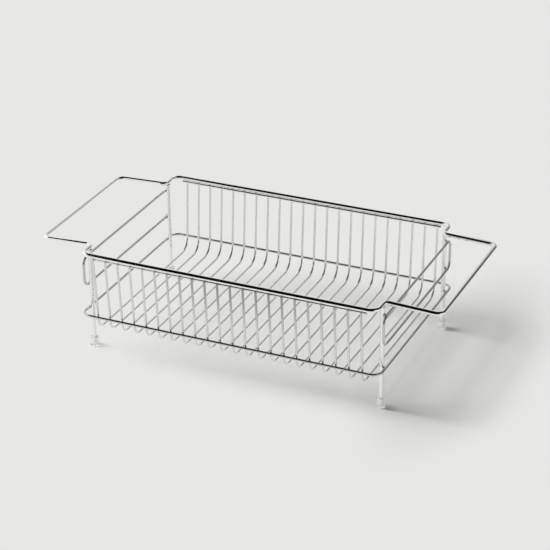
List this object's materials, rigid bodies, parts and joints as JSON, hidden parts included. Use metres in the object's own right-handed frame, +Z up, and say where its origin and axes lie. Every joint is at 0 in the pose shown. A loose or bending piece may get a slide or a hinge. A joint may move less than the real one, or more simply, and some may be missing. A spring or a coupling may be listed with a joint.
{
  "type": "over-sink dish drying rack",
  "caption": "Long open wire basket for drying dishes, hung in a heavier wire frame whose end arms reach over a sink, on four straight legs with clear plastic caps.",
  "frame": {"origin": "centre of the rack's footprint on the plane of the four foot caps' undersides, which is the bounding box's bottom centre", "axes": "+X along the rack's length towards the right-hand arm as seen from the front, +Y towards the back wall of the basket, +Z up"},
  "size_m": [0.508, 0.2502, 0.1336],
  "materials": {
    "polished_frame_steel": "mirror-polished round steel wire",
    "bright_drawn_wire": "bright polished thin steel wire",
    "clear_vinyl": "clear, slightly cloudy moulded cap"
  },
  "bodies": {
    "root": {"top_frame": "polished_frame_steel", "front_rail": "bright_drawn_wire", "back_rail": "bright_drawn_wire", "basket_wire_01": "bright_drawn_wire", "basket_wire_02": "bright_drawn_wire", "basket_wire_03": "bright_drawn_wire", "basket_wire_04": "bright_drawn_wire", "basket_wire_05": "bright_drawn_wire", "basket_wire_06": "bright_drawn_wire", "basket_wire_07": "bright_drawn_wire", "basket_wire_08": "bright_drawn_wire", "basket_wire_09": "bright_drawn_wire", "basket_wire_10": "bright_drawn_wire", "basket_wire_11": "bright_drawn_wire", "basket_wire_12": "bright_drawn_wire", "basket_wire_13": "bright_drawn_wire", "basket_wire_14": "bright_drawn_wire", "basket_wire_15": "bright_drawn_wire", "basket_wire_16": "bright_drawn_wire", "basket_wire_17": "bright_drawn_wire", "basket_wire_18": "bright_drawn_wire", "basket_wire_19": "bright_drawn_wire", "basket_wire_20": "bright_drawn_wire", "basket_wire_21": "bright_drawn_wire", "basket_wire_22": "bright_drawn_wire", "base_ring": "bright_drawn_wire", "left_end_loop": "bright_drawn_wire", "right_end_loop": "bright_drawn_wire", "leg_front_left": "polished_frame_steel", "leg_front_right": "polished_frame_steel", "leg_back_left": "polished_frame_steel", "leg_back_right": "polished_frame_steel", "foot_cap_front_left": "clear_vinyl", "foot_cap_front_right": "clear_vinyl", "foot_cap_back_left": "clear_vinyl", "foot_cap_back_right": "clear_vinyl"}
  },
  "joints": []
}
